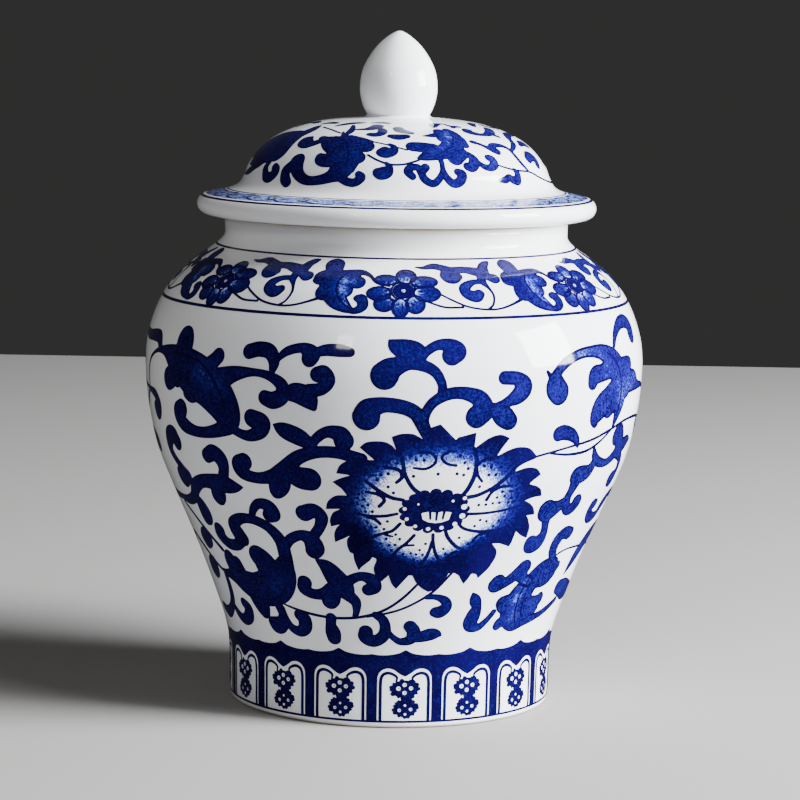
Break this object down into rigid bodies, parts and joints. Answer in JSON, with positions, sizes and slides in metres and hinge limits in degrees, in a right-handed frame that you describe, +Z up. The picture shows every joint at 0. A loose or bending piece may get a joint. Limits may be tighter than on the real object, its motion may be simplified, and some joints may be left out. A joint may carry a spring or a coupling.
{
  "type": "ginger jar",
  "caption": "Round-bellied blue and white porcelain jar with a short neck, a foot ring and a domed lid with a brim and a bud finial that lifts off.",
  "frame": {"origin": "centre of the plane that the foot ring stands on", "axes": "+Z up along the jar's axis, which is also the way the lid lifts; -Y faces the viewer of the main painted flower"},
  "size_m": [0.1592, 0.1592, 0.214],
  "materials": {
    "painted_porcelain": "clear gloss glaze over cobalt blue painting on white",
    "white_porcelain": "clear gloss glaze on white",
    "cobalt": "cobalt blue under gloss glaze",
    "biscuit": "bare fired rim, unglazed"
  },
  "bodies": {
    "jar": {"jar_body": "painted_porcelain"},
    "lid": {"lid_dome": "painted_porcelain", "lid_collar": "white_porcelain", "finial": "white_porcelain"}
  },
  "joints": [
    {"name": "lid_lift", "type": "slide", "parent": "jar", "child": "lid", "axis": [0, 0, 1], "range_m": [0, 0.1]}
  ]
}
